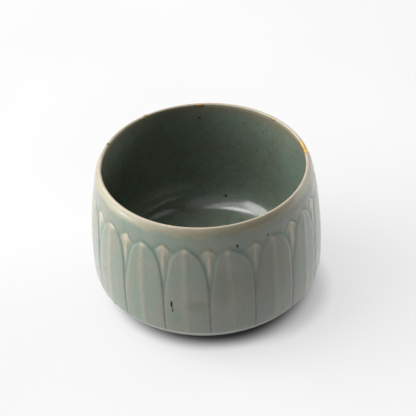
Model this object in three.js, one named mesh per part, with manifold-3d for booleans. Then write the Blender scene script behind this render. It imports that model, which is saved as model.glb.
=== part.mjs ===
// Rice bowl of grey-green glazed stoneware, thrown in one piece, with lotus petals
// carved round its wall and four small chips in its lip filled with gold lacquer.
// Millimetres, +Z up, origin at the centre of the foot ring's underside.
import * as THREE from 'three';
import { mergeVertices } from 'three/addons/utils/BufferGeometryUtils.js';
import Module from 'manifold-3d';

// ---------------------------------------------------------------- driving dimensions
const HEIGHT = 79.3; // foot to the top of the lip
const CREST_RADIUS = 53.25; // axis to the middle of the lip
const LIP_ROUND = 0.85; // radius of the rounded lip
const COLLAR_FLARE = 3.95; // how far the wall opens by the collar, under the lip
const COLLAR_DEPTH = 9.95;
const BELLY_RADIUS = 60.4; // widest part of the wall
const BELLY_HEIGHT = 31;
const HIP_RADIUS = 59.7; // where the wall turns under
const HIP_HEIGHT = 16.4;
const HIP_ROUND = 4;
const HOLLOW_RADIUS = 56.1; // widest part of the hollow
const FLOOR_HEIGHT = 10; // inside, at the centre
const FOOT_RADIUS = 33.5; // foot ring, outside
const FOOT_WIDTH = 5.5;
const FOOT_HEIGHT = 4.5; // up to the underside, outside the ring
const FOOT_RECESS = 3.4; // up to the underside, inside the ring
const FOOT_BEVEL = 0.6;

const PETALS = 16; // large petals, with a small one behind each gap
const LARGE_TIP_DEPTH = 10.65; // lip centre down to a large petal's tip
const SMALL_TIP_DEPTH = 9.75;
const NOTCH_ANGLE = 5.6; // where their outlines meet, in degrees from a small petal's middle
const TIP_GROWTH = 5.6; // depth over which a large petal gains most of its width
const TIP_SHAPE = 0.7; // 0.5 is a round tip, 1 is a sharp one
const SMALL_ARCH = 0.46; // how fast a small petal's outline falls from its tip
const SMALL_ARCH_POWER = 1.32;
const CARVING_DEPTH = 0.6; // at the outlines
const CARVING_SLOPE = 1.8; // how far the cut slopes away from an outline
const CUT_HALF_ANGLE = 0.35; // degrees from an outline to each side of its cut
const RIB_HEIGHT = 0.3; // raised midrib of a large petal
const RIB_WIDTH = 1.2;

const REPAIR_GAP = 0.3; // between a repair and the chip it sits in
const GOLD_SKIN = 0.3; // gold lacquer over the putty of the largest repair

// Each chip is an oval bite from the lip. Azimuth and turn are in degrees, and shift is
// how far the bite's middle lies outside the middle of the lip.
const CHIPS = {
  right: { azimuth: 10.5, turn: 9, shift: -0.3, length: 12.6, width: 5.6, depth: 3 },
  back: { azimuth: 90.6, turn: 0, shift: -1.1, length: 4.6, width: 2.6, depth: 2.2 },
  rear_left: { azimuth: 123.9, turn: 0, shift: 0.4, length: 2.8, width: 2.6, depth: 1.5 },
  small: { azimuth: 43.5, turn: 0, shift: -1.0, length: 2.2, width: 2, depth: 1.5 },
};

// ---------------------------------------------------------------- derived sizes
const LIP_HEIGHT = HEIGHT - LIP_ROUND;
const HALF_PITCH = 180 / PETALS;
const HALF_COLUMNS = 4; // grid columns from a small petal's middle to a large one's
const COLUMNS = PETALS * 2 * HALF_COLUMNS;
const MM_PER_DEGREE = (Math.PI / 180) * ((CREST_RADIUS + BELLY_RADIUS) / 2);

const wasm = await Module();
wasm.setup();

// ---------------------------------------------------------------- profile of the bowl
const point = (radius, height) => new THREE.Vector2(radius, height);

// A unit step down the wall, leaning outwards from straight down by some degrees.
function downward(lean) {
  const angle = THREE.MathUtils.degToRad(lean);
  return point(Math.sin(angle), -Math.cos(angle));
}

// A smooth stretch of profile between two stations, each with a place and a lean. The
// reaches say how far the curve holds to the lean at either end.
function stretch(from, to, reachFrom, reachTo, rows) {
  const start = from.at.clone().addScaledVector(downward(from.lean), reachFrom);
  const end = to.at.clone().addScaledVector(downward(to.lean), -reachTo);
  return new THREE.CubicBezierCurve(from.at, start, end, to.at).getPoints(rows);
}

// A clockwise arc, between angles in degrees above straight out from the axis.
function arc(centre, radius, from, to, rows) {
  const [start, end] = [from, to].map(THREE.MathUtils.degToRad);
  const curve = new THREE.EllipseCurve(centre.x, centre.y, radius, radius, start, end, true);
  return curve.getPoints(rows);
}

// Drops a point that repeats the one before it, where two stretches share an end.
function withoutRepeats(points) {
  const closest = 0.01;
  return points.filter((p, i) => i === 0 || p.distanceTo(points[i - 1]) > closest);
}

// The rounded lip, over its top from the hollow to the shoulder outside.
const SHOULDER_LEAN = 35;
const LIP_CENTRE = point(CREST_RADIUS, LIP_HEIGHT);
const LIP = [
  ...arc(LIP_CENTRE, LIP_ROUND, 180, 90, 2),
  ...arc(LIP_CENTRE, LIP_ROUND, 90, SHOULDER_LEAN, 2),
];

// The outside of the wall from the lip to the hip, sampled closely.
function plainWall() {
  const fine = 60;
  const shoulder = { at: LIP.at(-1), lean: SHOULDER_LEAN };
  const collar = { at: point(CREST_RADIUS + COLLAR_FLARE, LIP_HEIGHT - COLLAR_DEPTH), lean: 10 };
  const belly = { at: point(BELLY_RADIUS, BELLY_HEIGHT), lean: 0 };
  const hip = { at: point(HIP_RADIUS, HIP_HEIGHT), lean: -8 };
  return withoutRepeats([
    ...stretch(shoulder, collar, 3.8, 3.8, fine),
    ...stretch(collar, belly, 10, 13, fine),
    ...stretch(belly, hip, 4.9, 4.8, fine),
  ]);
}

// The wall's plain radius at a height, before carving.
const WALL = plainWall();
function wallRadius(height) {
  const below = Math.max(WALL.findIndex((p) => p.y <= height), 1);
  const [upper, lower] = [WALL[below - 1], WALL[below]];
  return THREE.MathUtils.mapLinear(height, upper.y, lower.y, upper.x, lower.x);
}

// The underside, from the hip's rounding to the foot ring.
function underside() {
  const hipLean = -8;
  const undersideLean = -30;
  const hipAt = point(HIP_RADIUS, HIP_HEIGHT);
  const hipCentre = hipAt.addScaledVector(downward(hipLean + 90), -HIP_ROUND);
  const hip = arc(hipCentre, HIP_ROUND, hipLean, undersideLean, 2);
  const from = { at: hip.at(-1), lean: undersideLean };
  const foot = { at: point(FOOT_RADIUS + 1, FOOT_HEIGHT), lean: -78 };
  return withoutRepeats([...hip, ...stretch(from, foot, 12, 11, 4)]);
}

// The foot ring, from its outer root across its flat face and up to the axis.
function footRing() {
  const outside = FOOT_RADIUS;
  const inside = FOOT_RADIUS - FOOT_WIDTH;
  return [
    point(outside, FOOT_HEIGHT - 1),
    point(outside - 0.3, FOOT_BEVEL),
    point(outside - 0.3 - FOOT_BEVEL, 0),
    point(inside + FOOT_BEVEL, 0),
    point(inside, FOOT_BEVEL),
    point(inside - 1.5, FOOT_RECESS),
    point(0, FOOT_RECESS + 0.6),
  ];
}

// The hollow, from under the lip down to the middle of the floor.
function hollow() {
  const lip = { at: point(CREST_RADIUS - LIP_ROUND, LIP_HEIGHT), lean: 0 };
  const wall = { at: point(HOLLOW_RADIUS, BELLY_HEIGHT + 1), lean: 0 };
  const floorEdge = { at: point(HOLLOW_RADIUS - 18, FLOOR_HEIGHT + 0.8), lean: -87 };
  const middle = point(0, FLOOR_HEIGHT);
  return [...stretch(lip, wall, 11, 16, 4), ...stretch(wall, floorEdge, 14, 12, 5), middle];
}

// ---------------------------------------------------------------- carved petals
// Half the width of a large petal, in degrees, at a depth below the lip's centre.
function largeHalfWidth(depth) {
  const belowTip = Math.max(depth - LARGE_TIP_DEPTH, 0);
  return HALF_PITCH * (1 - Math.exp(-((belowTip / TIP_GROWTH) ** TIP_SHAPE)));
}

// Depth of a large petal's outline at an angle from its midrib.
function largeOutline(offset) {
  const share = Math.min(offset / HALF_PITCH, 0.995);
  return LARGE_TIP_DEPTH + TIP_GROWTH * (-Math.log(1 - share)) ** (1 / TIP_SHAPE);
}

// Depth of a small petal's outline at an angle from its middle.
function smallOutline(offset) {
  return SMALL_TIP_DEPTH + SMALL_ARCH * offset ** SMALL_ARCH_POWER;
}

// Depth of the uppermost outline, at an angle from the nearest small petal's middle.
function scallop(angle) {
  return Math.min(largeOutline(HALF_PITCH - angle), smallOutline(angle));
}

// How far inside an outline a place lies, in mm. Outside it, this is negative.
function inset(outline, offset, depth) {
  const step = 0.05;
  const slope = (outline(offset + step) - outline(offset)) / (step * MM_PER_DEGREE);
  return (depth - outline(offset)) / Math.hypot(1, slope);
}

// Height of the carved surface over the plain wall, at an angle from the middle of the
// nearest small petal.
function petalRelief(angle, depth) {
  const fromRib = HALF_PITCH - angle;
  const insideLarge = inset(largeOutline, fromRib, depth);
  if (insideLarge > 0) {
    const belowTip = 1 - Math.exp(-insideLarge / RIB_WIDTH);
    return RIB_HEIGHT * belowTip * Math.exp(-(((fromRib * MM_PER_DEGREE) / RIB_WIDTH) ** 2));
  }
  const insideSmall = inset(smallOutline, angle, depth);
  if (insideSmall > 0) {
    const halfWidth = Math.max(HALF_PITCH - largeHalfWidth(depth), CUT_HALF_ANGLE);
    const ridge = THREE.MathUtils.smoothstep(halfWidth, 0.6, 3);
    return CARVING_DEPTH * (ridge * Math.max(1 - angle / halfWidth, 0) - 1);
  }
  const away = Math.min(-insideLarge, -insideSmall);
  return -CARVING_DEPTH * Math.exp(-away / CARVING_SLOPE);
}

// ---------------------------------------------------------------- grid on the wall
// Rows of the wall's grid. Each lies at a depth, and lies lower by a share of the
// scallop that the petals' tips make. Two rows run close to either side of the tips.
const WALL_ROWS = [
  { depth: 1.6, share: 0 },
  { depth: 4.5, share: 0 },
  { depth: SMALL_TIP_DEPTH - 2, share: 0.8 },
  { depth: SMALL_TIP_DEPTH - 0.3, share: 1 },
  { depth: SMALL_TIP_DEPTH + 0.3, share: 1 },
  { depth: 15, share: 0.6 },
  { depth: 22, share: 0.2 },
  { depth: 33, share: 0 },
  { depth: 48, share: 0 },
  { depth: LIP_HEIGHT - HIP_HEIGHT - 2, share: 0 },
];
const TIP_ROWS_END = SMALL_TIP_DEPTH + 1;

// Angle of a grid column from the middle of its small petal. Below the tips, two
// columns follow each side of a large petal, one on either side of the cut.
function columnAngle(column, rowDepth, depth) {
  const tipColumns = [0, NOTCH_ANGLE / 2, NOTCH_ANGLE, (NOTCH_ANGLE + HALF_PITCH) / 2, HALF_PITCH];
  if (rowDepth < TIP_ROWS_END) return tipColumns[column];
  const edge = Math.min(HALF_PITCH - largeHalfWidth(depth), NOTCH_ANGLE);
  const inner = Math.max(edge - CUT_HALF_ANGLE, CUT_HALF_ANGLE);
  const outer = inner + 2 * CUT_HALF_ANGLE;
  return [0, inner, outer, (outer + HALF_PITCH) / 2, HALF_PITCH][column];
}

// Moves one row of the wall's grid onto the carved surface.
function carveRow(position, indexes, { depth: rowDepth, share }) {
  const tipAngles = [...Array(HALF_COLUMNS + 1).keys()].map((c) => columnAngle(c, 0, 0));
  indexes.forEach((index, column) => {
    const petal = Math.round(column / (2 * HALF_COLUMNS));
    const side = column - petal * 2 * HALF_COLUMNS;
    const drop = scallop(tipAngles[Math.abs(side)]) - SMALL_TIP_DEPTH;
    const depth = rowDepth + share * drop;
    const angle = columnAngle(Math.abs(side), rowDepth, depth);
    const height = LIP_HEIGHT - depth;
    const radius = wallRadius(height) + petalRelief(angle, depth);
    const degrees = petal * 2 * HALF_PITCH + Math.sign(side) * angle;
    const azimuth = THREE.MathUtils.degToRad(degrees);
    position.setXYZ(index, radius * Math.cos(azimuth), radius * Math.sin(azimuth), height);
  });
}

// ---------------------------------------------------------------- solids
// A closed profile turned about +Z. Column 0 lies along +X.
function turned(profile) {
  return new THREE.LatheGeometry(profile, COLUMNS, Math.PI / 2).rotateX(Math.PI / 2);
}

// Triangles with shared corners, none of them squeezed to a line.
function merged(geometry) {
  const bare = geometry.clone();
  bare.deleteAttribute('normal');
  bare.deleteAttribute('uv');
  const shared = mergeVertices(bare);
  const corners = Array.from(shared.index.array);
  const whole = [];
  for (let i = 0; i < corners.length; i += 3) {
    const [a, b, c] = corners.slice(i, i + 3);
    if (a !== b && b !== c && c !== a) whole.push(a, b, c);
  }
  return shared.setIndex(whole);
}

function toSolid(geometry) {
  const closed = merged(geometry);
  const vertProperties = new Float32Array(closed.attributes.position.array);
  const triVerts = new Uint32Array(closed.index.array);
  return new wasm.Manifold(new wasm.Mesh({ numProp: 3, vertProperties, triVerts }));
}

function toGeometry(solid) {
  const mesh = solid.getMesh();
  const geometry = new THREE.BufferGeometry();
  geometry.setAttribute('position', new THREE.BufferAttribute(mesh.vertProperties, 3));
  geometry.setIndex(new THREE.BufferAttribute(mesh.triVerts, 1));
  geometry.computeVertexNormals();
  return geometry;
}

// The carved bowl, before its lip was chipped. Its profile runs from the axis over the
// foot, up the outside, over the lip and down the hollow.
function wholeBowl() {
  const wall = WALL_ROWS.map(({ depth }) => point(wallRadius(LIP_HEIGHT - depth), LIP_HEIGHT - depth));
  const under = [...footRing().reverse(), ...underside().reverse()];
  const profile = withoutRepeats([
    ...under,
    ...wall.reverse(),
    ...[...LIP].reverse(),
    ...hollow(),
  ]);
  const geometry = turned(profile);
  const { position } = geometry.attributes;
  WALL_ROWS.forEach((row, i) => {
    const place = under.length + WALL_ROWS.length - 1 - i;
    const indexes = [...Array(COLUMNS + 1).keys()].map((c) => c * profile.length + place);
    carveRow(position, indexes, row);
  });
  return toSolid(geometry);
}

// A ring that lies inside the lip, some distance under its surface.
function ringUnderLip(distance) {
  const reach = 8;
  const near = (p) => p.y > HEIGHT - reach;
  const shoulder = WALL.filter((p, i) => near(p) && i % 15 === 0);
  const skin = withoutRepeats([...shoulder.reverse(), ...[...LIP].reverse(), ...hollow().filter(near)]);
  const ring = skin.map((p, i) => {
    const before = skin[Math.max(i - 1, 0)];
    const after = skin[Math.min(i + 1, skin.length - 1)];
    const along = after.clone().sub(before).normalize();
    return point(p.x - along.y * distance, p.y + along.x * distance);
  });
  return toSolid(turned([...ring, ring[0]]));
}

// The oval bite that made a chip, or with a margin, the smaller one that a repair fills.
function bite({ azimuth, turn, shift, length, width, depth }, margin = 0) {
  const oval = new THREE.SphereGeometry(1, 20, 12);
  oval.scale(width / 2 - margin, length / 2 - margin, depth - margin);
  oval.rotateZ(THREE.MathUtils.degToRad(turn));
  oval.translate(CREST_RADIUS + shift, 0, HEIGHT);
  oval.rotateZ(THREE.MathUtils.degToRad(azimuth));
  return toSolid(oval);
}

// ---------------------------------------------------------------- finishes
const glaze = new THREE.MeshStandardMaterial({ color: 0x87907f, roughness: 0.3, metalness: 0 });
const gold = new THREE.MeshStandardMaterial({ color: 0xc79a45, roughness: 0.35, metalness: 0.9 });
const putty = new THREE.MeshStandardMaterial({ color: 0x4a3226, roughness: 0.8, metalness: 0 });

function piece(name, solid, material) {
  const mesh = new THREE.Mesh(toGeometry(solid), material);
  mesh.name = name;
  return mesh;
}

// ---------------------------------------------------------------- assembly
const whole = wholeBowl();
const chipped = Object.values(CHIPS).reduce((body, chip) => body.subtract(bite(chip)), whole);
const fill = (chip) => whole.intersect(bite(chip, REPAIR_GAP));
const puttyRing = ringUnderLip(GOLD_SKIN + REPAIR_GAP);

const bowl = new THREE.Group();
bowl.add(
  piece('bowl_body', chipped, glaze),
  piece('right_repair_gold', fill(CHIPS.right).subtract(ringUnderLip(GOLD_SKIN)), gold),
  piece('right_repair_putty', puttyRing.intersect(bite(CHIPS.right, REPAIR_GAP)), putty),
  piece('back_repair', fill(CHIPS.back), gold),
  piece('rear_left_repair', fill(CHIPS.rear_left), gold),
  piece('small_repair', fill(CHIPS.small), gold),
);

export default bowl;
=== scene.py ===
"""The looks of a carved celadon rice bowl with gold-lacquer repairs, built round its
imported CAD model. Shapes are worked out in the CAD's millimetres and made in metres."""

import math
from types import SimpleNamespace

import bpy
import numpy as np
from mathutils import Matrix, Vector


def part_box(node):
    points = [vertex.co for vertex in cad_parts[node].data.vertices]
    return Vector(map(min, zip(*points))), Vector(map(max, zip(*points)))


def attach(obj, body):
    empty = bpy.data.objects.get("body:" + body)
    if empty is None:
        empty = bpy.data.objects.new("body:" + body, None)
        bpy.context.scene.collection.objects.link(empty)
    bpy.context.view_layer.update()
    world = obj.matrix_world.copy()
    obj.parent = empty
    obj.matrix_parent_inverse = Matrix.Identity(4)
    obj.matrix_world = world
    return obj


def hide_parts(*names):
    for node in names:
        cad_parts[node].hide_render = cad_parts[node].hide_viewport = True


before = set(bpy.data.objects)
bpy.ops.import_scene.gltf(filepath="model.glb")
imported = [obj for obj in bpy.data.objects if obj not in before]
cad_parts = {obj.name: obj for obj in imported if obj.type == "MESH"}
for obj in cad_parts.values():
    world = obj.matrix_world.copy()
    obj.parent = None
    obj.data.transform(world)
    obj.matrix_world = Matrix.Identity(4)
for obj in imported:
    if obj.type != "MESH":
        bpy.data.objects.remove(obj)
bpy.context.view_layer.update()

# ------------------------------------------------------------------ sizes, from the frame
BODY_LOW, BODY_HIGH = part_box("bowl_body")
CAD_HEIGHT = 79.3  # the frame's bowl in its own millimetres
MM = (BODY_HIGH.z - BODY_LOW.z) / CAD_HEIGHT  # metres to one of them

CREST_RADIUS = 53.25
LIP_ROUND = 0.85
LIP_HEIGHT = CAD_HEIGHT - LIP_ROUND
SHOULDER_LEAN = 35
COLLAR_FLARE = 3.95
COLLAR_DEPTH = 9.95
COLLAR_LEAN = 10
BELLY = (60.4, 31)
HIP = (59.7, 16.4)
HIP_LEAN = -8
HIP_ROUND = 4
UNDERSIDE_LEAN = -30
ROOT_LEAN = -78
FOOT_RADIUS = 33.5
FOOT_WIDTH = 5.5
FOOT_HEIGHT = 4.5
FOOT_RECESS = 3.4
FOOT_BEVEL = 0.6
HOLLOW_RADIUS = 56.1
FLOOR_HEIGHT = 10
FLOOR_LEAN = -87

PETALS = 16
HALF_PITCH = 180 / PETALS
LARGE_TIP_DEPTH = 10.65
SMALL_TIP_DEPTH = 9.75
NOTCH_ANGLE = 5.6
TIP_GROWTH = 5.6
TIP_SHAPE = 0.7
SMALL_ARCH = 0.46
SMALL_ARCH_POWER = 1.32
CARVING_DEPTH = 0.42
CARVING_SLOPE = 1.8
RIB_HEIGHT = 0.24
RIB_WIDTH = 1.2
LARGE_EDGES = (0.8, 1.6)  # mm over which a petal's steep edge rises, and its gentle one
SMALL_EDGES = (0.6, 1.0)
LIT_EDGE_SHARE = 0.45  # share of the pooled and scored colour kept on a petal's gentle, lit edge; the full colour on the steep edge, away from the light, is partly painted shade
MM_PER_DEGREE = math.radians(1) * (CREST_RADIUS + BELLY[0]) / 2


# ------------------------------------------------------------------ profile of the bowl
SAME_PLACE = 1e-4  # mm
WALL_ROWS = 90  # in each of the three stretches of the wall outside


def downward(lean):
    """A unit step down the wall, leaning outwards from straight down."""
    angle = math.radians(lean)
    return np.array([math.sin(angle), -math.cos(angle)])


def stretch(start, start_lean, end, end_lean, reach, rows):
    """A smooth run of profile points between two places, each with its own lean, which
    each keeps for about its reach in mm."""
    a, d = np.array(start, float), np.array(end, float)
    b = a + downward(start_lean) * reach[0]
    c = d - downward(end_lean) * reach[1]
    t = np.linspace(0, 1, rows + 1)[:, None]
    return (1 - t) ** 3 * a + 3 * (1 - t) ** 2 * t * b + 3 * (1 - t) * t**2 * c + t**3 * d


def arc(centre, radius, start, end, rows):
    """Points on part of a circle, between two angles in degrees."""
    angles = np.radians(np.linspace(start, end, rows + 1))
    ring = np.column_stack([np.cos(angles), np.sin(angles)])
    return np.array(centre, float) + radius * ring


def without_repeats(points):
    """The points without those that double the one before."""
    steps = np.hypot(*np.diff(points, axis=0).T)
    return points[np.concatenate([[True], steps > SAME_PLACE])]


def lip_profile():
    """Over the lip, from the hollow to the shoulder outside."""
    return arc((CREST_RADIUS, LIP_HEIGHT), LIP_ROUND, 180, SHOULDER_LEAN, 18)


def wall_profile():
    """The outside from the lip to the hip."""
    shoulder = lip_profile()[-1]
    collar = (CREST_RADIUS + COLLAR_FLARE, LIP_HEIGHT - COLLAR_DEPTH)
    upper = stretch(shoulder, SHOULDER_LEAN, collar, COLLAR_LEAN, (3.8, 3.8), WALL_ROWS)
    middle = stretch(collar, COLLAR_LEAN, BELLY, 0, (10, 13), WALL_ROWS)
    lower = stretch(BELLY, 0, HIP, HIP_LEAN, (4.9, 4.8), WALL_ROWS)
    return without_repeats(np.vstack([upper, middle, lower]))


def underside_profile():
    """From the hip's rounding to the root of the foot ring."""
    normal = downward(HIP_LEAN + 90)
    centre = np.array(HIP) - HIP_ROUND * normal
    hip = arc(centre, HIP_ROUND, HIP_LEAN, UNDERSIDE_LEAN, 6)
    root = (FOOT_RADIUS + 1, FOOT_HEIGHT)
    under = stretch(hip[-1], UNDERSIDE_LEAN, root, ROOT_LEAN, (12, 11), 18)
    return without_repeats(np.vstack([hip, under]))


def foot_profile():
    """The foot ring, from its outer root over its flat face to the axis."""
    outside, inside = FOOT_RADIUS - 0.3, FOOT_RADIUS - FOOT_WIDTH
    bevel = FOOT_BEVEL
    start = (FOOT_RADIUS + 1, FOOT_HEIGHT)
    root = stretch(start, ROOT_LEAN, (outside, bevel), 0, (0.9, 2.2), 6)
    outer = arc((outside - bevel, bevel), bevel, 0, -90, 4)
    inner = arc((inside + bevel, bevel), bevel, -90, -180, 4)
    cove = stretch((inside, bevel), 0, (inside - 3, FOOT_RECESS), -90, (2.2, 2.2), 6)
    roof = stretch(cove[-1], -90, (0, FOOT_RECESS + 0.6), -90, (8, 8), 8)
    return without_repeats(np.vstack([root[1:], outer, inner, cove, roof]))


def hollow_profile():
    """From under the lip down to the middle of the floor."""
    lip = (CREST_RADIUS - LIP_ROUND, LIP_HEIGHT)
    wall = (HOLLOW_RADIUS, BELLY[1] + 1)
    floor_edge = (HOLLOW_RADIUS - 18, FLOOR_HEIGHT + 0.8)
    upper = stretch(lip, 0, wall, 0, (11, 16), 18)
    corner = stretch(wall, 0, floor_edge, FLOOR_LEAN, (14, 12), 16)
    floor = stretch(floor_edge, FLOOR_LEAN, (0, FLOOR_HEIGHT), -90, (10, 10), 8)
    return without_repeats(np.vstack([upper, corner, floor]))


WALL = wall_profile()


def wall_radius(height):
    """The plain wall's radius outside, before it is carved."""
    return np.interp(height, WALL[::-1, 1], WALL[::-1, 0])


# ------------------------------------------------------------------ carved petals
def smooth(value, low, high):
    """0 below low, 1 above high, and an S-curve between them."""
    t = np.clip((value - low) / (high - low), 0, 1)
    return t * t * (3 - 2 * t)


def bump(value, width):
    """1 where value is 0, and close to 0 from about two widths away."""
    return np.exp(-((value / width) ** 2))


def large_half_width(depth):
    """Half of a large petal's width in degrees, at a depth under the lip."""
    below = np.maximum(depth - LARGE_TIP_DEPTH, 0)
    return HALF_PITCH * (1 - np.exp(-((below / TIP_GROWTH) ** TIP_SHAPE)))


def large_outline(offset):
    """The depth of a large petal's outline, by degrees from its rib."""
    share = np.clip(offset / HALF_PITCH, 0, 0.997)
    return LARGE_TIP_DEPTH + TIP_GROWTH * (-np.log(1 - share)) ** (1 / TIP_SHAPE)


def small_outline(offset):
    """The depth of a small petal's outline, by degrees from its ridge."""
    return SMALL_TIP_DEPTH + SMALL_ARCH * np.maximum(offset, 0) ** SMALL_ARCH_POWER


def inset(outline, offset, depth):
    """How far inside an outline a place lies, in mm."""
    step = 0.02
    slope = (outline(offset + step) - outline(offset)) / (step * MM_PER_DEGREE)
    return (depth - outline(offset)) / np.hypot(1, slope)


def petal_places(angle, depth, side):
    """Where places on the wall lie among the petals, in mm and as shares. The angle is
    from the middle of the nearest small petal, and side is -1 on one side of it and 1 on
    the other. One edge of each petal rises steeper than the other. On that edge, away from
    the light, the pooled and scored colour is full as painted shade, and the gentle edge
    keeps only part of it."""
    from_rib = HALF_PITCH - angle
    steep_large, steep_small = side < 0, side > 0
    rise_large = np.where(steep_large, *LARGE_EDGES)
    rise_small = np.where(steep_small, *SMALL_EDGES)
    at = SimpleNamespace(angle=angle, depth=depth)
    at.from_rib = from_rib * MM_PER_DEGREE
    at.from_ridge = angle * MM_PER_DEGREE
    at.in_large = inset(large_outline, from_rib, depth)
    at.in_small = inset(small_outline, angle, depth)
    at.below_tip = smooth(at.in_large, 0.2, 3)
    at.is_large = smooth(at.in_large, -rise_large, rise_large)
    at.is_small = smooth(at.in_small, -rise_small, rise_small)
    # the steep edge, away from the light, takes the full pooled and scored colour as painted
    # shade
    at.cut_large = np.where(steep_large, 1, LIT_EDGE_SHARE)
    at.cut_small = np.where(steep_small, 1, LIT_EDGE_SHARE)
    return at


def carved_height(at):
    """Height over the plain wall: large petals with a rib, small ones with a ridge, and
    the ground round them, cut deepest at the outlines and shallower low on the wall."""
    half_width = np.maximum(HALF_PITCH - large_half_width(at.depth), 0.3)
    cut = CARVING_DEPTH * (1 - 0.45 * smooth(at.depth, 22, 45))
    large = RIB_HEIGHT * at.below_tip * bump(at.from_rib, RIB_WIDTH)
    ridge = smooth(half_width, 0.6, 3)
    small = cut * (ridge * np.maximum(1 - at.angle / half_width, 0) - 1)
    away = np.maximum(np.minimum(-at.in_large, -at.in_small), 0)
    ground = -cut * np.exp(-away / CARVING_SLOPE)
    height = ground * (1 - at.is_small) + small * at.is_small
    return height * (1 - at.is_large) + large * at.is_large


def thin_glaze(at):
    """How thin the glaze runs over the ribs, the ridges, the tips and the petals' rims."""
    rib = at.below_tip * (0.14 * bump(at.from_rib, 1.8) + 0.09 * bump(at.from_rib, 0.6))
    rim = 0.06 * bump(at.in_large - 0.5, 0.4)
    large_tip = at.is_large * bump(at.depth - LARGE_TIP_DEPTH, 2.4) * bump(at.from_rib, 2.2)
    only_small = at.is_small * (1 - at.is_large)
    below_small = at.depth - SMALL_TIP_DEPTH - 1.5
    small_tip = only_small * bump(below_small, 4) * bump(at.from_ridge, 2.8)
    ridge = only_small * bump(at.from_ridge, 0.8) * (1 - smooth(at.depth, 18, 32))
    return np.maximum.reduce([rib, rim, large_tip, small_tip, ridge])


def seam(at):
    """The narrow cut low down, where two large petals meet."""
    return smooth(at.depth, 28, 40) * bump(at.from_ridge, 0.3)


def pooled_glaze_and_shade(at):
    """How thick the glaze pools along the outlines and in the notches between petals. Along the
    steep outlines, away from the light, its full strength is partly painted shade.
    """
    wider = 0.4 * (1 - smooth(at.depth, 12, 18))
    line = at.cut_large * bump(at.in_large + 0.4 + wider, 0.6 + wider)
    shoulder = at.cut_small * bump(at.in_small + 0.6, 0.7)
    notch = np.exp(-((at.in_large + 0.8) ** 2 + (at.in_small + 0.8) ** 2) / 1.6)
    pool = np.maximum(line, np.maximum(shoulder, notch) * (1 - at.is_large))
    return np.clip(pool * (1 - 0.5 * smooth(at.depth, 30, 42)) + seam(at), 0, 1)


def scored_line(at):
    """Where the knife scored a fine dark line, along the lower outlines. It is full only on the
    steep outlines away from the light, where its extra darkness is painted shade.
    """
    scored = at.cut_large * smooth(at.depth, 19, 33) * bump(at.in_large + 0.2, 0.24)
    return np.maximum(scored, seam(at))


def petal_fields(angle, depth, side):
    """The carved height, and how far the glaze is thin, pooled and scored there; the pooled and
    scored colour is partly painted shade on the steep edges.
    """
    at = petal_places(angle, depth, side)
    return carved_height(at), thin_glaze(at), pooled_glaze_and_shade(at), scored_line(at)


# ------------------------------------------------------------------ chips in the lip
CHIPS = {
    "right": {"azimuth": 10.5, "turn": 9, "across": -0.3, "length": 12.6, "width": 5.6},
    "back": {"azimuth": 90.6, "turn": 0, "across": -1.5, "length": 4.6, "width": 2.2},
    "rear_left": {"azimuth": 123.9, "turn": 0, "across": 0.2, "length": 2.8, "width": 2.2},
    "small": {"azimuth": 43.5, "turn": 0, "across": -1.4, "length": 1.8, "width": 1.2},
}
CHIP_DEPTH = 0.6
GOLD_SKIN = 0.28
GOLD_RISE = 0.14


def oval_edge(chip, turn):
    """How far an uneven oval's edge strays from the true oval, as a share of its radius."""
    phase = chip["azimuth"]
    return 1 + 0.08 * np.sin(2 * turn + phase) + 0.06 * np.sin(5 * turn + 2 * phase)


def inside_chip(chip, azimuth, across):
    """Where a place on the lip lies in a chip: 0 at its middle and 1 at its edge."""
    along = (azimuth - chip["azimuth"] + 180) % 360 - 180
    along = np.radians(along) * CREST_RADIUS
    beyond = across - chip["across"]
    lean = math.radians(chip["turn"])
    u = (along * math.cos(lean) - beyond * math.sin(lean)) / (chip["length"] / 2)
    v = (along * math.sin(lean) + beyond * math.cos(lean)) / (chip["width"] / 2)
    return np.hypot(u, v) / oval_edge(chip, np.arctan2(v, u))


def chip_recess(azimuth, across):
    """How deep the chips cut under the lip's surface."""
    recess = np.zeros(np.broadcast(azimuth, across).shape)
    for chip in CHIPS.values():
        share = np.minimum(inside_chip(chip, azimuth, across), 1)
        recess = np.maximum(recess, CHIP_DEPTH * (1 - share**4))
    return recess


# ------------------------------------------------------------------ the bowl's mesh
COLUMNS_TO_OUTLINE = 7
COLUMNS_TO_RIB = 10
FOOT_ZONE, UNDER_ZONE, WALL_ZONE, LIP_ZONE, HOLLOW_ZONE = range(5)


def column_places():
    """Places across half a pitch, from 0 at the small petal's middle through 1 at the
    outline to 2 at the large petal's rib, closer together near the outline."""
    wedge = 1 - np.linspace(1, 0, COLUMNS_TO_OUTLINE + 1) ** 1.5
    face = np.linspace(0, 1, COLUMNS_TO_RIB + 1) ** 1.4
    return np.concatenate([wedge[:-1], 1 + face])


def column_angle(place, depth):
    """Degrees from the small petal's middle to a column's place, at a depth."""
    edge = np.minimum(HALF_PITCH - large_half_width(depth), NOTCH_ANGLE)
    inside = edge * np.minimum(place, 1)
    return inside + (HALF_PITCH - edge) * np.maximum(place - 1, 0)


def wall_rows():
    """Depths of the wall's rows, close together at the petals' tips, and the share of
    the tips' scallop that each row follows."""
    above = np.linspace(-0.6, SMALL_TIP_DEPTH - 3.2, 9)
    near = np.array([-2.4, -1.7, -1.2, -0.8, -0.5, -0.3, -0.15, 0, 0.15, 0.3, 0.5, 0.8, 1.3])
    near = SMALL_TIP_DEPTH + near
    below = np.linspace(SMALL_TIP_DEPTH + 2.2, LIP_HEIGHT - HIP[1], 42)
    depth = np.concatenate([above, near, below])
    rising = smooth(depth, SMALL_TIP_DEPTH - 4, SMALL_TIP_DEPTH - 1)
    falling = 1 - smooth(depth, SMALL_TIP_DEPTH + 1, SMALL_TIP_DEPTH + 16)
    return depth, rising * falling


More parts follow.
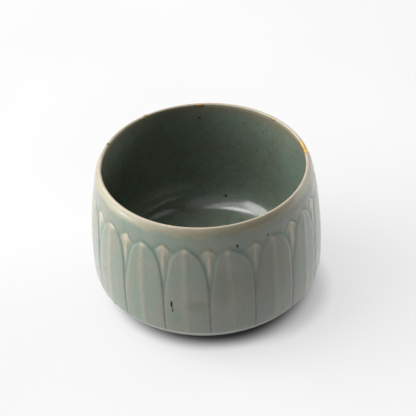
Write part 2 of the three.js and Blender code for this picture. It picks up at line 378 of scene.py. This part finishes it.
def bowl_profile():
    """The whole section from under the foot over the lip to the middle of the floor, with
    the zone of each point, the wall rows' depths and their share of the scallop."""
    depth, share = wall_rows()
    depth, share = depth[::-1][1:-1], share[::-1][1:-1]
    wall = np.column_stack([wall_radius(LIP_HEIGHT - depth), LIP_HEIGHT - depth])
    foot, under = foot_profile()[::-1], underside_profile()[::-1]
    parts = [foot, under, wall, lip_profile()[::-1], hollow_profile()[1:]]
    zone = np.concatenate([np.full(len(part), i) for i, part in enumerate(parts)])
    return np.vstack(parts), zone, depth, share


def profile_normals(profile):
    """Outward unit normals of a section that runs from the foot up over the lip."""
    step = np.gradient(profile, axis=0)
    return np.column_stack([step[:, 1], -step[:, 0]]) / np.hypot(*step.T)[:, None]


def across_lip(profile):
    """Distance along the section from the lip's crest, positive outside the bowl."""
    length = np.concatenate([[0], np.cumsum(np.hypot(*np.diff(profile, axis=0).T))])
    return length[profile[:, 1].argmax()] - length


def wander(azimuth, lobes, phase):
    """A slow wave round the bowl, as a hand leaves it, between about -1 and 1."""
    waves = [np.sin(n * azimuth + phase * (i + 1)) for i, n in enumerate(lobes)]
    return sum(waves) / len(waves)


WEDGE_LEAN = 0.8  # degrees by which a small petal's wedge is wider on one side, at most

# How each petal strays from its even place: its tip's lean in degrees and its rise in mm,
# small and large petals in turn from azimuth 0.
TIP_LEAN = (
    (0.4, -0.3, 0.7, 0.2, -0.6, 0.1, 0.8, -0.4, 0.2, 0.6, -0.7, 0.3, -0.2, 0.5, -0.5, 0.4)
    + (0.2, 0.6, 1.0, 0.5, 1.0, 0.0, 0.1, 0.2, 0.5, -1.0, 1.1, 0.1, 1.5, 1.2, -0.4, 0.3)
)
TIP_RISE = (
    (0.5, 0.1, 0.4, -0.2, 0.1, 0.3, -0.3, -0.1, 0.4, 0.2, -0.4, 0.0, -0.3, -0.5, -0.2, -0.6)
    + (-0.8, -0.7, -1.0, -0.4, -0.8, -0.8, 0.5, 0.5, -0.4, -0.6, -0.6, -0.1, 0.7, 0.9, 0.9, 0.4)
)


def along_petals(values, azimuth):
    """Values given for each petal, small and large, eased from one to the next."""
    place = (np.degrees(azimuth) % 360) / HALF_PITCH
    first = np.floor(place).astype(int)
    share = smooth(place - first, 0, 1)
    values, count = np.array(values), 2 * PETALS
    return values[first % count] * (1 - share) + values[(first + 1) % count] * share


def by_hand(radius, height, azimuth, outside):
    """Places on the true round bowl, moved to where the hand left them. Angles in radians."""
    depth = LIP_HEIGHT - height
    tips = outside * smooth(depth, 3, 9)
    lean = tips * (1 - smooth(depth, 14, 45)) * along_petals(TIP_LEAN, azimuth)
    rise = tips * (1 - smooth(depth, 14, 32)) * along_petals(TIP_RISE, azimuth)
    upper = smooth(height, 8, 60)
    radius = radius * (1 + 0.0012 * upper * wander(azimuth, (2, 3), 0.7))
    height = height + rise + 0.1 * upper * wander(azimuth, (2, 5), 1.3)
    return radius, height, azimuth + np.radians(lean)


def to_points(radius, height, azimuth, outside=1):
    """Points in the frame, in metres, from places on the true round bowl."""
    radius, height, azimuth = by_hand(radius, height, azimuth, outside)
    return np.stack([radius * np.cos(azimuth), radius * np.sin(azimuth), height], -1) * MM


def plain_grid(profile, zone):
    """The bowl before it is carved: a column of points for each place round it."""
    places = column_places()
    half = np.concatenate([-places[:0:-1], places[:-1]])
    grid = SimpleNamespace(profile=profile, zone=zone)
    grid.petal = np.repeat(np.arange(PETALS), len(half))[:, None]
    grid.place = np.abs(np.tile(half, PETALS))[:, None]
    grid.side = np.sign(np.tile(half, PETALS))[:, None]
    grid.shape = (len(grid.place), len(profile))
    grid.radius = np.broadcast_to(profile[:, 0], grid.shape).copy()
    grid.height = np.broadcast_to(profile[:, 1], grid.shape).copy()
    grid.angle = np.broadcast_to(column_angle(grid.place, 0), grid.shape).copy()
    grid.thin, grid.pool, grid.scored = np.zeros((3, *grid.shape))
    return grid


def carve_wall(grid, row_depth, share):
    """Cuts the petals into the wall. Rows near the tips follow the tips' scallop."""
    rows = np.flatnonzero(grid.zone == WALL_ZONE)
    tip_angle = column_angle(grid.place, 0)
    scallop = np.minimum(large_outline(HALF_PITCH - tip_angle), small_outline(tip_angle))
    depth = row_depth + share * (scallop - SMALL_TIP_DEPTH)
    grid.angle[:, rows] = column_angle(grid.place, depth)
    grid.height[:, rows] = LIP_HEIGHT - depth
    carved = petal_fields(grid.angle[:, rows], depth, grid.side)
    relief, grid.thin[:, rows], grid.pool[:, rows], grid.scored[:, rows] = carved
    grid.radius[:, rows] = wall_radius(grid.height[:, rows]) + relief * smooth(depth, 2, 6)


def carve_underside(grid):
    """Runs the carving on round the hip, where it dies out."""
    rows = np.flatnonzero(grid.zone == UNDER_ZONE)
    hip_depth = LIP_HEIGHT - HIP[1]
    grid.angle[:, rows] = column_angle(grid.place, hip_depth)
    relief, thin, pool, scored = petal_fields(grid.angle[:, rows[:1]], hip_depth, grid.side)
    run = np.hypot(*(grid.profile[rows] - grid.profile[rows[-1]]).T)
    grid.radius[:, rows] += relief * (1 - smooth(run, 1, 6))
    grid.thin[:, rows] = thin * (1 - smooth(run, 0, 9))
    grid.pool[:, rows] = pool * (1 - smooth(run, 2, 14))
    grid.scored[:, rows] = scored * (1 - smooth(run, 1, 7))


def wedge_lean(grid):
    """Degrees by which each small petal's wedge reaches further on its wider side."""
    wedge = smooth(grid.angle, 0, 1.5) * (1 - smooth(grid.angle, 2, 6)) * (grid.side > 0)
    depth = LIP_HEIGHT - grid.height
    return WEDGE_LEAN * wedge * smooth(depth, 16, 24) * (1 - smooth(depth, 34, 46))


def cut_chips(grid, azimuth, across):
    """Sinks the lip's surface where the chips are."""
    recess = chip_recess(azimuth, across[None, :])
    normal = profile_normals(grid.profile)
    grid.radius -= recess * normal[:, 0]
    grid.height -= recess * normal[:, 1]


def bowl_grid():
    """Every vertex of the bowl, column by column, with the fields its glaze follows."""
    profile, zone, depth, share = bowl_profile()
    grid = plain_grid(profile, zone)
    carve_wall(grid, depth, share)
    carve_underside(grid)
    azimuth = 2 * HALF_PITCH * grid.petal + grid.side * (grid.angle + wedge_lean(grid))
    across = across_lip(profile)
    cut_chips(grid, azimuth, across)
    fields = {
        "thin": grid.thin,
        "pool": grid.pool,
        "scored": grid.scored,
        "inside": np.broadcast_to(zone == HOLLOW_ZONE, grid.shape),
        "from_crest": np.broadcast_to(np.abs(across), grid.shape),
    }
    outside = (zone <= WALL_ZONE).astype(float)
    return to_points(grid.radius, grid.height, np.radians(azimuth), outside), fields


def grid_mesh(name, points, fields):
    """A mesh from columns of points that close round, with a single point at each end."""
    columns, rows = points.shape[:2]
    inner = rows - 2
    sides = points[:, 1:-1].reshape(-1, 3)
    vertices = np.vstack([sides, points[0, [0, -1]]])
    column = np.arange(columns)[:, None]
    here = column * inner + np.arange(inner - 1)
    there = np.roll(column, -1) * inner + np.arange(inner - 1)
    quads = np.stack([here, there, there + 1, here + 1], -1).reshape(-1, 4)
    first, after = here[:, 0], there[:, 0]
    low = np.column_stack([np.full(columns, len(sides)), after, first])
    last = inner - 1
    high = np.column_stack([first + last, after + last, np.full(columns, len(sides) + 1)])
    mesh = bpy.data.meshes.new(name)
    mesh.from_pydata(vertices.tolist(), [], quads.tolist() + low.tolist() + high.tolist())
    for field, values in fields.items():
        layer = mesh.attributes.new(field, "FLOAT", "POINT")
        flat = np.concatenate([values[:, 1:-1].ravel(), values[0, [0, -1]]])
        layer.data.foreach_set("value", flat.astype(np.float32))
    mesh.validate()
    mesh.shade_smooth()
    return mesh


def add_piece(name, mesh, material, slot_name, *nodes):
    """Puts a mesh in the scene in the place of the frame's nodes that it stands for."""
    piece = bpy.data.objects.new(name, mesh)
    bpy.context.scene.collection.objects.link(piece)
    mesh.materials.append(material)
    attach(piece, "root")
    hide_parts(*nodes)


def build_bowl(material):
    mesh = grid_mesh("bowl", *bowl_grid())
    add_piece("bowl", mesh, material, "celadon_glaze", "bowl_body")


# ------------------------------------------------------------------ the repairs
ROWS_BY_LIP_OUTSIDE = 24  # enough of the wall and of the hollow to hold the widest chip
ROWS_BY_LIP_INSIDE = 14
PUTTY_SHARE = 0.92  # of the chip's width
PUTTY_GAP = 0.05


def lip_place(azimuth, across, rise):
    """Points on the lip's surface, or above it by rise, from where they lie across it."""
    outer, inner = WALL[ROWS_BY_LIP_OUTSIDE:0:-1], hollow_profile()[1:ROWS_BY_LIP_INSIDE]
    section = np.vstack([outer, lip_profile()[::-1], inner])
    distance, normal = across_lip(section), profile_normals(section)
    place = [np.interp(-across, -distance, column) for column in section.T]
    facing = [np.interp(-across, -distance, column) for column in normal.T]
    radius, height = place[0] + rise * facing[0], place[1] + rise * facing[1]
    return to_points(radius, height, np.radians(azimuth))


def fill_mesh(name, chip, top, bottom, share=1.0):
    """A closed lens that fills a chip. Top and bottom give the heights of its two faces
    over the lip's surface from 0 at its middle to 1 at its edge."""
    segments, rings = 56, 12
    turn = np.arange(segments)[:, None] * 2 * math.pi / segments
    out = np.sin(np.linspace(0, math.pi / 2, rings + 1))
    reach = np.concatenate([out, out[::-1]])
    rise = np.concatenate([top(out), bottom(out)[::-1]])
    edge = reach * share * oval_edge(chip, turn)
    u, v = edge * np.cos(turn) * chip["length"] / 2, edge * np.sin(turn) * chip["width"] / 2
    lean = math.radians(chip["turn"])
    along = u * math.cos(lean) + v * math.sin(lean)
    across = chip["across"] - u * math.sin(lean) + v * math.cos(lean)
    azimuth = chip["azimuth"] + np.degrees(along / CREST_RADIUS)
    points = lip_place(azimuth, across, np.broadcast_to(rise, across.shape))
    spread = np.broadcast_to(reach, across.shape)
    return grid_mesh(name, points[:, ::-1], {"spread": spread[:, ::-1]})


def gold_top(share):
    """The gold stands a little proud, with a rounded edge. Share runs from 0 in the
    middle of a chip to 1 at its edge, here and in the next three."""
    return 0.03 + GOLD_RISE * (1 - share**5)


def gold_bottom(share):
    return -GOLD_SKIN * (1 - share**3)


def putty_top(share):
    return -(GOLD_SKIN + PUTTY_GAP) * (1 - share**3) - PUTTY_GAP


def putty_bottom(share):
    return -0.1 - (CHIP_DEPTH - 0.2) * (1 - share**3)


def build_repairs(gold, putty):
    """Gold over every chip, and a putty core under the largest."""
    for place, chip in CHIPS.items():
        name = place + "_repair"
        node = name + "_gold" if place == "right" else name
        mesh = fill_mesh(name, chip, gold_top, gold_bottom)
        add_piece(node + "_lacquer", mesh, gold, "gold_lacquer", node)
    core = fill_mesh("core", CHIPS["right"], putty_top, putty_bottom, PUTTY_SHARE)
    add_piece("right_repair_putty_core", core, putty, "lacquer_putty", "right_repair_putty")


# ------------------------------------------------------------------ shader building
class Shader:
    """A material made of nodes, with one short method for each kind of node it needs."""

    def __init__(self, name):
        self.material = bpy.data.materials.new(name)
        self.material.use_nodes = True
        self.tree = self.material.node_tree
        self.surface = self.tree.nodes["Principled BSDF"]
        place = self.tree.nodes.new("ShaderNodeTexCoord").outputs["Object"]
        self.place = self.vector("SCALE", place, scale=1 / MM)  # in millimetres

    def link(self, value, socket):
        if isinstance(value, bpy.types.NodeSocket):
            self.tree.links.new(value, socket)
        else:
            socket.default_value = value

    def math(self, operation, *values):
        node = self.tree.nodes.new("ShaderNodeMath")
        node.operation = operation
        for value, socket in zip(values, node.inputs):
            self.link(value, socket)
        return node.outputs[0]

    def vector(self, operation, *values, scale=None):
        node = self.tree.nodes.new("ShaderNodeVectorMath")
        node.operation = operation
        for value, socket in zip(values, node.inputs):
            self.link(value, socket)
        if scale is not None:
            self.link(scale, node.inputs["Scale"])
        return node.outputs["Value" if operation in ("LENGTH", "DOT_PRODUCT") else "Vector"]

    def field(self, name):
        node = self.tree.nodes.new("ShaderNodeAttribute")
        node.attribute_name = name
        return node.outputs["Fac"]

    def step(self, value, low, high, bottom=0.0, top=1.0):
        """An S-curve of value from bottom at low to top at high."""
        node = self.tree.nodes.new("ShaderNodeMapRange")
        node.interpolation_type = "SMOOTHSTEP"
        for item, name in (
            (value, "Value"),
            (low, "From Min"),
            (high, "From Max"),
            (bottom, "To Min"),
            (top, "To Max"),
        ):
            self.link(item, node.inputs[name])
        return node.outputs["Result"]

    def noise(self, size, detail, stretch=(1, 1, 1)):
        """Soft noise between 0 and 1 with lumps of a size in mm, longer where stretched."""
        node = self.tree.nodes.new("ShaderNodeTexNoise")
        scale = [1 / (size * length) for length in stretch]
        self.link(self.vector("MULTIPLY", self.place, scale), node.inputs["Vector"])
        node.inputs["Scale"].default_value = 1
        node.inputs["Detail"].default_value = detail
        return node.outputs["Fac"]

    def cracks(self, size, width, stretch):
        """A net of fine lines round cells of a size in mm: 1 on a line and 0 off it."""
        node = self.tree.nodes.new("ShaderNodeTexVoronoi")
        node.feature = "DISTANCE_TO_EDGE"
        scale = [1 / (size * length) for length in stretch]
        self.link(self.vector("MULTIPLY", self.place, scale), node.inputs["Vector"])
        node.inputs["Scale"].default_value = 1
        return self.step(node.outputs["Distance"], 0, width / size, 1.0, 0.0)

    def mix(self, share, low, high):
        node = self.tree.nodes.new("ShaderNodeMix")
        node.data_type = "RGBA"
        for item, socket in zip((share, low, high), (node.inputs[0], *node.inputs[6:8])):
            self.link((*item, 1) if isinstance(item, tuple) else item, socket)
        return node.outputs[2]

    def blend(self, share, low, high):
        node = self.tree.nodes.new("ShaderNodeMix")
        for item, socket in zip((share, low, high), node.inputs[:1] + node.inputs[2:4]):
            self.link(item, socket)
        return node.outputs[0]

    def add(self, *values):
        total = values[0]
        for value in values[1:]:
            total = self.math("ADD", total, value)
        return total

    def times(self, *values):
        total = values[0]
        for value in values[1:]:
            total = self.math("MULTIPLY", total, value)
        return total

    def set(self, **values):
        for name, value in values.items():
            value = (*value, 1) if isinstance(value, tuple) else value
            self.link(value, self.surface.inputs[name.replace("_", " ")])

    def bump(self, height, depth):
        """Relief of the height field, with a full height of depth in mm."""
        node = self.tree.nodes.new("ShaderNodeBump")
        node.inputs["Strength"].default_value = 1
        node.inputs["Distance"].default_value = depth * MM
        self.link(height, node.inputs["Height"])
        self.link(node.outputs["Normal"], self.surface.inputs["Normal"])


# ------------------------------------------------------------------ the celadon glaze
GREY_GREEN = (0.135, 0.147, 0.112)
BLUE_GREEN = (0.107, 0.145, 0.109)
WARM_GREY = (0.151, 0.143, 0.110)
POOLED_AND_SHADED = (0.058, 0.100, 0.074)
SCORED_AND_SHADED = (0.050, 0.046, 0.034)
THIN_TAN = (0.40, 0.32, 0.22)
OLIVE_BAND = (0.205, 0.185, 0.125)
LIP_TAN = (0.252, 0.212, 0.156)
DEEP_GREEN = (0.106, 0.127, 0.096)
DEEP_TEAL = (0.112, 0.150, 0.121)
INNER_OLIVE = (0.135, 0.118, 0.085)
DARK_CRACK = (0.045, 0.055, 0.040)
IRON = (0.020, 0.012, 0.006)
OLIVE_CLOUD_AND_SHADE = (0.096, 0.110, 0.066)
BARE_CLAY = (0.300, 0.215, 0.150)
BURNT_CLAY = (0.190, 0.115, 0.070)

NET_SIZE = 5.5  # mm across the cells of the crackle inside, wider than they are tall
NET_STRETCH = (1.6, 1.6, 1)

# Iron specks in the glaze: azimuth and height of each, its width and length in mm
OUTER_SPECKS = (
    (251.5, 34.4, 1.2, 4.6),
    (251.9, 30.6, 0.7, 3.0),
    (285.0, 68.4, 1.3, 1.9),
    (301.8, 69.1, 1.3, 0.9),
)
INNER_SPECKS = ((77.0, 17.3, 1.5, 1.5), (91.0, 70.1, 1.4, 1.3))
CREST_SPECKS = ((158.0, 79.1, 1.1, 1.1),)

# Soft darker olive clouds low on the front, given as the specks are. The largest, on the
# right-front that turns from the main light, is painted shade.
DARK_CLOUDS_AND_SHADE = ((301.5, 48, 40, 42), (277, 46, 18, 26), (264, 34, 14, 9))


def hollow_radius(height):
    """The radius of the wall inside."""
    hollow = hollow_profile()
    return float(np.interp(height, hollow[::-1, 1], hollow[::-1, 0]))


def speck(shader, azimuth, height, radius, width, length, depth=4, clear=0.5, edge=1.5):
    """A soft round or long spot on the surface: 1 in it and 0 off it. Depth is how far it
    reaches through the wall, and clear and edge are the squares of where its fading
    starts and ends, as shares of its half sizes."""
    turn = math.radians(azimuth)
    outward = (math.cos(turn), math.sin(turn), 0)
    sideways = (-math.sin(turn), math.cos(turn), 0)
    centre = (radius * outward[0], radius * outward[1], height)
    away = shader.vector("SUBTRACT", shader.place, centre)
    reach = ((sideways, width / 2), ((0, 0, 1), length / 2), (outward, depth))
    total = 0.0
    for direction, size in reach:
        part = shader.times(shader.vector("DOT_PRODUCT", away, direction), 1 / size)
        total = shader.add(shader.times(part, part), total)
    return shader.step(total, clear, edge, 1.0, 0.0)


def iron_specks(shader):
    """1 in the iron specks on both sides and on the lip, and 0 elsewhere."""
    marks = [
        speck(shader, azimuth, height, float(wall_radius(height)), width, length)
        for azimuth, height, width, length in OUTER_SPECKS
    ]
    for azimuth, height, width, length in INNER_SPECKS:
        marks.append(speck(shader, azimuth, height, hollow_radius(height), width, length))
    for azimuth, height, width, length in CREST_SPECKS:
        marks.append(speck(shader, azimuth, height, CREST_RADIUS, width, length))
    total = marks[0]
    for mark in marks[1:]:
        total = shader.math("MAXIMUM", total, mark)
    return total


def dark_clouds_and_shade(shader, colour):
    """The colour with the three darker olive clouds in it, the largest of them painted shade.
    """
    for azimuth, height, width, length in DARK_CLOUDS_AND_SHADE:
        radius = float(wall_radius(height))
        # the largest cloud is painted shade on the right-front, away from the main light
        cloud = speck(shader, azimuth, height, radius, width, length, 14, 0, 1.2)
        colour = shader.mix(shader.times(cloud, 0.72), colour, OLIVE_CLOUD_AND_SHADE)
    return colour


def outside_colour(shader, wobble):
    """Grey-green glaze that runs blue-green in places, thick and dark in the cuts, and
    thin over the ridges so that the clay warms it. The dark along the steep petal edges is
    partly painted shade, and the largest olive cloud is painted shade. Wobble makes the
    band uneven."""
    cloud = shader.step(shader.noise(15, 2), 0.38, 0.62)
    streak = shader.step(shader.noise(4.5, 2, (1, 1, 6)), 0.35, 0.7)
    colour = shader.mix(cloud, GREY_GREEN, BLUE_GREEN)
    colour = shader.mix(shader.times(streak, 0.45), colour, WARM_GREY)
    colour = dark_clouds_and_shade(shader, colour)
    # dark green of the pooled glaze, with painted shade along the steep outlines away from the
    # light
    colour = shader.mix(shader.times(shader.field("pool"), 0.95), colour, POOLED_AND_SHADED)
    broken_line = shader.step(shader.noise(4, 2), 0.35, 0.65, 0.3, 0.85)
    # dark scored line, partly painted shade on the steep edges away from the light
    colour = shader.mix(shader.times(shader.field("scored"), broken_line), colour, SCORED_AND_SHADED)
    worn = shader.step(shader.noise(3, 3, (1, 1, 3)), 0.25, 0.65, 0.35, 0.95)
    thin = shader.times(shader.field("thin"), worn, 0.75)
    colour = shader.mix(thin, colour, THIN_TAN)
    from_crest = shader.add(shader.field("from_crest"), wobble)
    band = shader.step(from_crest, 4.0, 6.2, 0.85, 0.0)
    return shader.mix(band, colour, OLIVE_BAND)


def inside_colour(shader, wobble):
    """Thicker, greener glaze with a fine net of crackle and faint throwing rings."""
    cloud = shader.step(shader.noise(14, 3), 0.35, 0.65)
    colour = shader.mix(cloud, DEEP_GREEN, DEEP_TEAL)
    rings = shader.step(shader.noise(0.9, 3, (7, 7, 1)), 0.35, 0.7)
    colour = shader.mix(shader.times(rings, 0.5), colour, GREY_GREEN)
    here = shader.step(shader.noise(16, 2), 0.35, 0.6, 0.35, 1.0)
    net = shader.cracks(NET_SIZE, 0.25, NET_STRETCH)
    fine = shader.cracks(2.2, 0.16, (1, 1, 0.7))
    dark = shader.add(shader.times(net, 0.3), shader.times(fine, 0.34))
    colour = shader.mix(shader.times(dark, here), colour, DARK_CRACK)
    from_crest = shader.add(shader.field("from_crest"), wobble)
    band = shader.step(from_crest, 1.5, 10, 0.9, 0.0)
    return shader.mix(band, colour, INNER_OLIVE)


def glaze_colour(shader, inside, iron, clay):
    """Both sides' colours, the tan lip, iron specks and the bare clay under the foot."""
    wobble = shader.step(shader.noise(7, 2), 0.2, 0.8, -0.9, 0.9)
    colour = shader.mix(inside, outside_colour(shader, wobble), inside_colour(shader, wobble))
    from_crest = shader.add(shader.field("from_crest"), shader.times(wobble, 0.3))
    colour = shader.mix(shader.step(from_crest, 0.7, 1.6, 0.95, 0.0), colour, LIP_TAN)
    mottle = shader.step(shader.noise(1.6, 4), 0.3, 0.7, 0.95, 1.05)
    colour = shader.vector("SCALE", colour, scale=mottle)
    colour = shader.mix(iron, colour, IRON)
    flame = shader.step(shader.noise(2.2, 5), 0.35, 0.7)
    return shader.mix(clay, colour, shader.mix(flame, BARE_CLAY, BURNT_CLAY))


def set_glaze_shine(shader, inside, iron, clay):
    """Satin outside and glossier inside, under a clear film that is all but missing from
    the dry lip, the iron specks and the bare clay."""
    satin = shader.step(shader.noise(5, 2), 0.3, 0.7, 0.30, 0.40)
    dry_lip = shader.step(shader.field("from_crest"), 1.6, 3.5, 1.0, 0.0)
    rough = shader.blend(inside, satin, 0.22)
    rough = shader.blend(clay, rough, 0.85)
    rough = shader.blend(dry_lip, rough, 0.6)
    film = shader.times(shader.blend(inside, 0.8, 0.7), shader.math("SUBTRACT", 1.0, clay))
    film = shader.times(film, shader.step(dry_lip, 0, 1, 1.0, 0.1))
    film = shader.times(film, shader.step(iron, 0, 1, 1.0, 0.1))
    film_rough = shader.blend(inside, shader.times(satin, 0.6), 0.12)
    shine = shader.blend(iron, shader.blend(inside, 0.5, 0.2), 0.1)
    shader.set(Roughness=rough, Specular_IOR_Level=shine)
    shader.set(Coat_Weight=film, Coat_Roughness=film_rough)


def celadon():
    """The whole glaze, with its orange peel, and crackle and throwing rings inside."""
    shader = Shader("celadon_glaze")
    inside, iron, clay = shader.field("inside"), iron_specks(shader), bare_clay(shader)
    shader.set(Base_Color=glaze_colour(shader, inside, iron, clay))
    set_glaze_shine(shader, inside, iron, clay)
    peel = shader.noise(2.4, 2)
    rings = shader.times(shader.noise(1.1, 2, (12, 12, 1)), inside, 1.6)
    dimples = shader.times(shader.cracks(NET_SIZE, 0.4, NET_STRETCH), inside, -1.0)
    shader.bump(shader.add(peel, dimples, rings), 0.02)
    return shader.material


def bare_clay(shader):
    """The flat of the foot ring, wiped clean of glaze with an uneven edge."""
    height = shader.tree.nodes.new("ShaderNodeSeparateXYZ")
    shader.link(shader.place, height.inputs[0])
    ragged = shader.step(shader.noise(2.5, 3), 0.2, 0.8, -0.35, 0.35)
    return shader.step(shader.add(height.outputs["Z"], ragged), 0.45, 0.75, 1.0, 0.0)


# ------------------------------------------------------------------ repair finishes
GOLD = (0.42, 0.295, 0.12)
WORN_GOLD = (0.25, 0.17, 0.065)
LACQUER_EDGE = (0.22, 0.11, 0.03)
DARK_PUTTY = (0.055, 0.030, 0.018)
PALE_PUTTY = (0.120, 0.070, 0.040)


def gold_lacquer():
    """Gold powder on lacquer: bright, a little worn to brown, with a brown line round it."""
    shader = Shader("gold_lacquer")
    worn = shader.step(shader.noise(1.3, 4), 0.42, 0.7)
    colour = shader.mix(worn, GOLD, WORN_GOLD)
    edge = shader.step(shader.field("spread"), 0.86, 1.0)
    colour = shader.mix(shader.times(edge, 0.75), colour, LACQUER_EDGE)
    rough = shader.step(shader.noise(0.5, 3), 0.3, 0.7, 0.45, 0.60)
    metal = shader.step(edge, 0, 1, 0.95, 0.5)
    shader.set(Base_Color=colour, Roughness=rough, Metallic=metal)
    shader.bump(shader.noise(1.1, 2), 0.03)
    return shader.material


def lacquer_putty():
    """Gritty brown filler, seen only if the gold comes off."""
    shader = Shader("lacquer_putty")
    grit = shader.noise(0.6, 4)
    colour = shader.mix(grit, DARK_PUTTY, PALE_PUTTY)
    shader.set(Base_Color=colour, Roughness=shader.step(grit, 0.3, 0.7, 0.6, 0.85))
    shader.bump(grit, 0.08)
    return shader.material


# ------------------------------------------------------------------ floor
FLOOR_DARK = (0.120, 0.120, 0.120)
FLOOR_PALE = (0.132, 0.132, 0.132)
FLOOR_REACH = 3  # metres from its middle to each side
# The floor's glow is painted light; where it fades round the bowl it leaves a painted shadow
FLOOR_GLOW = 0.65
GLOW_MIDDLE = (1.5, 0, 0)  # mm, on the side away from the main light
GLOW_EDGE = (45.5, 58)  # mm from there to where the glow starts, and to where it is full
SHADE_MIDDLE = (19, -7, 0)  # mm, middle of the painted shade that stands for the soft shadow the light from the left leaves
SHADE_EDGE = (37.5, 50)  # mm from there to where the shade starts to fade, and is gone
SHADE_DEPTH = 0.37


def floor_finish():
    """Pale matt floor with a painted glow, which fades round the bowl to leave a painted shadow
    under it, darker still to its right as painted shade.
    """
    shader = Shader("pale_floor")
    mottle = shader.step(shader.noise(160, 1), 0.3, 0.7)
    away = shader.vector("LENGTH", shader.vector("SUBTRACT", shader.place, GLOW_MIDDLE))
    # painted glow, dark round the bowl as a painted shadow
    glow = shader.step(away, *GLOW_EDGE, 0.0, FLOOR_GLOW)
    off_shade = shader.vector("LENGTH", shader.vector("SUBTRACT", shader.place, SHADE_MIDDLE))
    glow = shader.times(glow, shader.step(off_shade, *SHADE_EDGE, 1 - SHADE_DEPTH, 1.0))
    shader.set(
        Base_Color=shader.mix(mottle, FLOOR_DARK, FLOOR_PALE),
        Roughness=0.9,
        Specular_IOR_Level=0.1,
        Emission_Color=(1.0, 1.0, 1.0),
        Emission_Strength=glow,
    )
    return shader.material


def build_floor():
    """A wide flat sheet at the bowl's foot."""
    mesh = bpy.data.meshes.new("floor")
    far = FLOOR_REACH
    corners = [(-far, -far, 0), (far, -far, 0), (far, far, 0), (-far, far, 0)]
    mesh.from_pydata(corners, [], [(0, 1, 2, 3)])
    floor = bpy.data.objects.new("floor", mesh)
    bpy.context.scene.collection.objects.link(floor)
    mesh.materials.append(floor_finish())


# ------------------------------------------------------------------ lights and backdrop
# Softboxes round the bowl: azimuth from +X towards +Y, elevation, size in metres, watts
SOFTBOXES = {
    "left_key": (160, 72, 0.45, 4.6),
    "left_high": (168, 58, 1.8, 20),
    "left_middle": (180, 33, 1.8, 45),
    "left_low": (172, 12, 1.4, 18),
    "front_high": (232, 60, 1.9, 4.2),
    "rear": (90, 45, 1.9, 11),
    "right_rear": (30, 10, 1.3, 31),
    "right_high": (0, 63, 0.5, 0.5),
}
SOFTBOX_DISTANCE = 1.5  # metres
BACKDROP_LIGHT = 0.01  # strength of the light that it gives
BACKDROP_SEEN = 0.86  # and the strength with which the camera sees it


def build_lights():
    """Round softboxes, all aimed at the middle of the bowl."""
    target = Vector((0, 0, BODY_HIGH.z / 2))
    for name, (azimuth, elevation, size, power) in SOFTBOXES.items():
        data = bpy.data.lights.new(name, "AREA")
        data.shape = "DISK"
        data.size = size
        data.energy = power
        lamp = bpy.data.objects.new(name, data)
        a, e = math.radians(azimuth), math.radians(elevation)
        away = Vector((math.cos(a) * math.cos(e), math.sin(a) * math.cos(e), math.sin(e)))
        lamp.location = target + away * SOFTBOX_DISTANCE
        lamp.rotation_mode = "QUATERNION"
        lamp.rotation_quaternion = away.to_track_quat("Z", "Y")
        bpy.context.scene.collection.objects.link(lamp)


def build_backdrop():
    """A pale wall all round, seen by the camera beyond the floor. It adds little light."""
    world = bpy.data.worlds.new("studio")
    bpy.context.scene.world = world
    world.use_nodes = True
    tree = world.node_tree
    strength = tree.nodes.new("ShaderNodeMix")
    strength.inputs[2].default_value = BACKDROP_LIGHT
    strength.inputs[3].default_value = BACKDROP_SEEN
    seen = tree.nodes.new("ShaderNodeLightPath").outputs["Is Camera Ray"]
    tree.links.new(seen, strength.inputs[0])
    background = tree.nodes["Background"]
    background.inputs["Color"].default_value = (1, 1, 1, 1)
    tree.links.new(strength.outputs[0], background.inputs["Strength"])


# ------------------------------------------------------------------ camera
CAMERA_ELEVATION = 36.67
CAMERA_DISTANCE = 795 * MM
MOUTH_HEIGHT = 78.9
CAMERA_ROLL = -2.631
LENS, SENSOR = 134.5, 36
AIM_RIGHT = 0.170  # degrees that the camera looks right of the mouth's middle, and below it
AIM_DOWN = 1.665


def build_camera():
    """Looks down into the mouth of the bowl, leaning a little to one side."""
    e, roll = math.radians(CAMERA_ELEVATION), math.radians(CAMERA_ROLL)
    mouth = Vector((0, 0, MOUTH_HEIGHT * MM))
    forward = Vector((0, math.cos(e), -math.sin(e)))
    level, upright = Vector((1, 0, 0)), Vector((0, math.sin(e), math.cos(e)))
    right = level * math.cos(roll) + upright * math.sin(roll)
    up = upright * math.cos(roll) - level * math.sin(roll)
    aside, down = math.tan(math.radians(AIM_RIGHT)), math.tan(math.radians(AIM_DOWN))
    aim = forward + right * aside - up * down
    aim.normalize()
    right = (right - aim * right.dot(aim)).normalized()
    data = bpy.data.cameras.new("camera")
    data.lens, data.sensor_width = LENS, SENSOR
    camera = bpy.data.objects.new("camera", data)
    bpy.context.scene.collection.objects.link(camera)
    camera.location = mouth - forward * CAMERA_DISTANCE
    camera.rotation_mode = "QUATERNION"
    axes = Matrix((right, right.cross(aim), -aim)).transposed()
    camera.rotation_quaternion = axes.to_quaternion()
    bpy.context.scene.camera = camera


# ------------------------------------------------------------------ assembly
build_bowl(celadon())
build_repairs(gold_lacquer(), lacquer_putty())
build_floor()
build_lights()
build_backdrop()
build_camera()
bpy.context.scene.view_settings.view_transform = "Standard"
